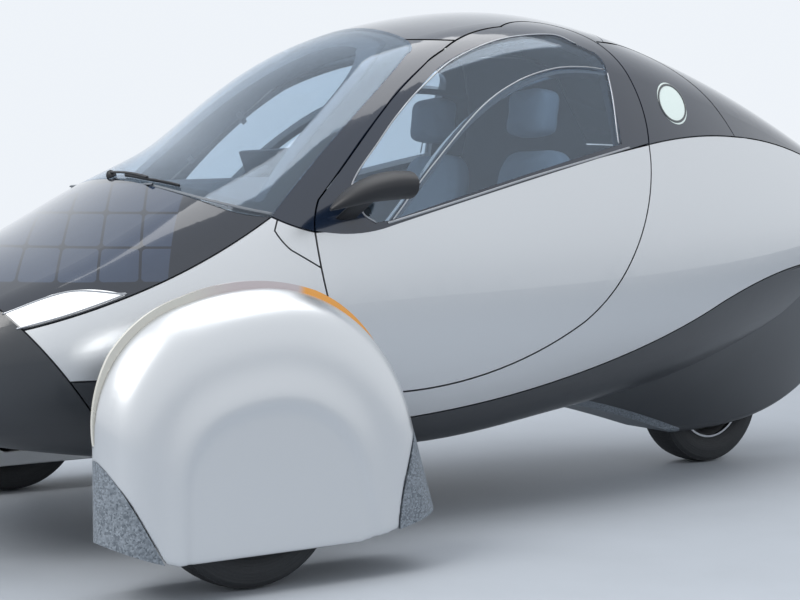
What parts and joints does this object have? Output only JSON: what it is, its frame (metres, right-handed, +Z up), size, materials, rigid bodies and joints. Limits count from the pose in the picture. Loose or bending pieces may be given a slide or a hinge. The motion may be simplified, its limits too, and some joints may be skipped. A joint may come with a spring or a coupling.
{
  "type": "three wheeled car",
  "caption": "Teardrop car with steered front wheels under covers on outrigger arms, a rear wheel in a keel, upswinging side doors and a rear hatch.",
  "frame": {"origin": "on the floor under the middle of the overall box, as it stands parked", "axes": "+X to the car's own left, +Y towards its tail, +Z up"},
  "size_m": [2.1562, 4.3, 1.7626],
  "materials": {
    "silver_paint": "gloss clear coat",
    "dark_paint": "gloss clear coat",
    "floor_panel": "satin",
    "speckle": "satin, speckled",
    "body_shell": "satin",
    "glass": "clear",
    "lamp_lens": "clear lens",
    "marker": "milky light guide",
    "badge": "gloss",
    "trim_black": "fine grain",
    "tyre": "matt",
    "wheel_metal": "machined",
    "arm_metal": "black coated",
    "steel": "machined",
    "seat_cloth": "woven",
    "carpet": "felt",
    "battery_case": "plain"
  },
  "bodies": {
    "body": {"nose_fascia": "dark_paint", "hood": "dark_paint", "quarter_panel_left": "dark_paint", "quarter_panel_right": "dark_paint", "screen_pillar_left": "dark_paint", "screen_pillar_right": "dark_paint", "roof_panel": "dark_paint", "rear_keel": "dark_paint", "headlamps": "lamp_lens", "belly_pan": "floor_panel", "fender_left": "silver_paint", "fender_right": "silver_paint", "body_side_left": "silver_paint", "body_side_right": "silver_paint", "badge_discs": "badge", "tail_cap": "dark_paint", "windshield": "glass", "safety_cell": "body_shell", "screen_frame": "trim_black", "dashboard": "trim_black", "wiper": "trim_black", "wheel_tub": "trim_black", "keel_nose": "speckle", "front_arms": "arm_metal", "rear_fork": "arm_metal", "cargo_floor": "carpet", "battery_pack": "battery_case", "seat_left": "seat_cloth", "seat_right": "seat_cloth", "lifting_pads": "steel", "tow_eye": "steel"},
    "door_left": {"door_panel_left": "silver_paint", "door_frame_left": "dark_paint", "door_glass_left": "glass", "drop_window_left": "glass", "mirror_left": "trim_black"},
    "hatch": {"hatch_shell": "dark_paint"},
    "steered_left": {"front_knuckle_left": "arm_metal", "wheel_cover_left": "silver_paint", "cover_corners_left": "speckle", "marker_strip_left": "marker"},
    "wheel_front_left": {"tyre_left": "tyre", "rim_left": "wheel_metal"},
    "wheel_front_right": {"tyre_right": "tyre", "rim_right": "wheel_metal"},
    "wheel_rear": {"tyre_rear": "tyre", "rim_rear": "wheel_metal"},
    "yoke": {"steering_yoke": "trim_black"},
    "door_right": {"door_panel_right": "silver_paint", "door_frame_right": "dark_paint", "door_glass_right": "glass", "drop_window_right": "glass", "mirror_right": "trim_black"},
    "steered_right": {"front_knuckle_right": "arm_metal", "wheel_cover_right": "silver_paint", "cover_corners_right": "speckle", "marker_strip_right": "marker"}
  },
  "joints": [
    {"name": "door_left_hinge", "type": "hinge", "parent": "body", "child": "door_left", "pos_m": [0.49618, -0.54545, 1.51628], "axis": [0.1896, -0.726, -0.661], "range_deg": [0, 55]},
    {"name": "door_right_hinge", "type": "hinge", "parent": "body", "child": "door_right", "pos_m": [-0.49618, -0.54545, 1.51628], "axis": [0.1896, 0.726, 0.661], "range_deg": [0, 55]},
    {"name": "hatch_hinge", "type": "hinge", "parent": "body", "child": "hatch", "pos_m": [0, 0.3, 1.69], "axis": [1, 0, 0], "range_deg": [0, 45]},
    {"name": "steering_left", "type": "hinge", "parent": "body", "child": "steered_left", "pos_m": [0.87, -1.4, 0.28], "axis": [0, 0, 1], "range_deg": [-18, 18]},
    {"name": "steering_right", "type": "hinge", "parent": "body", "child": "steered_right", "pos_m": [-0.87, -1.4, 0.28], "axis": [0, 0, 1], "range_deg": [-18, 18]},
    {"name": "yoke_turn", "type": "hinge", "parent": "body", "child": "yoke", "pos_m": [0.31, -0.69, 0.985], "axis": [0, 0.9272, 0.3746], "range_deg": [-92, 92]},
    {"name": "wheel_front_left_spin", "type": "hinge", "parent": "steered_left", "child": "wheel_front_left", "pos_m": [0.93, -1.4, 0.275], "axis": [1, 0, 0], "continuous": true},
    {"name": "wheel_front_right_spin", "type": "hinge", "parent": "steered_right", "child": "wheel_front_right", "pos_m": [-0.93, -1.4, 0.275], "axis": [1, 0, 0], "continuous": true},
    {"name": "wheel_rear_spin", "type": "hinge", "parent": "body", "child": "wheel_rear", "pos_m": [0, 1.234, 0.275], "axis": [1, 0, 0], "continuous": true}
  ],
  "couplings": [
    {"joint": "steering_right", "follows": "steering_left", "ratio": 1},
    {"joint": "yoke_turn", "follows": "steering_left", "ratio": 5}
  ]
}
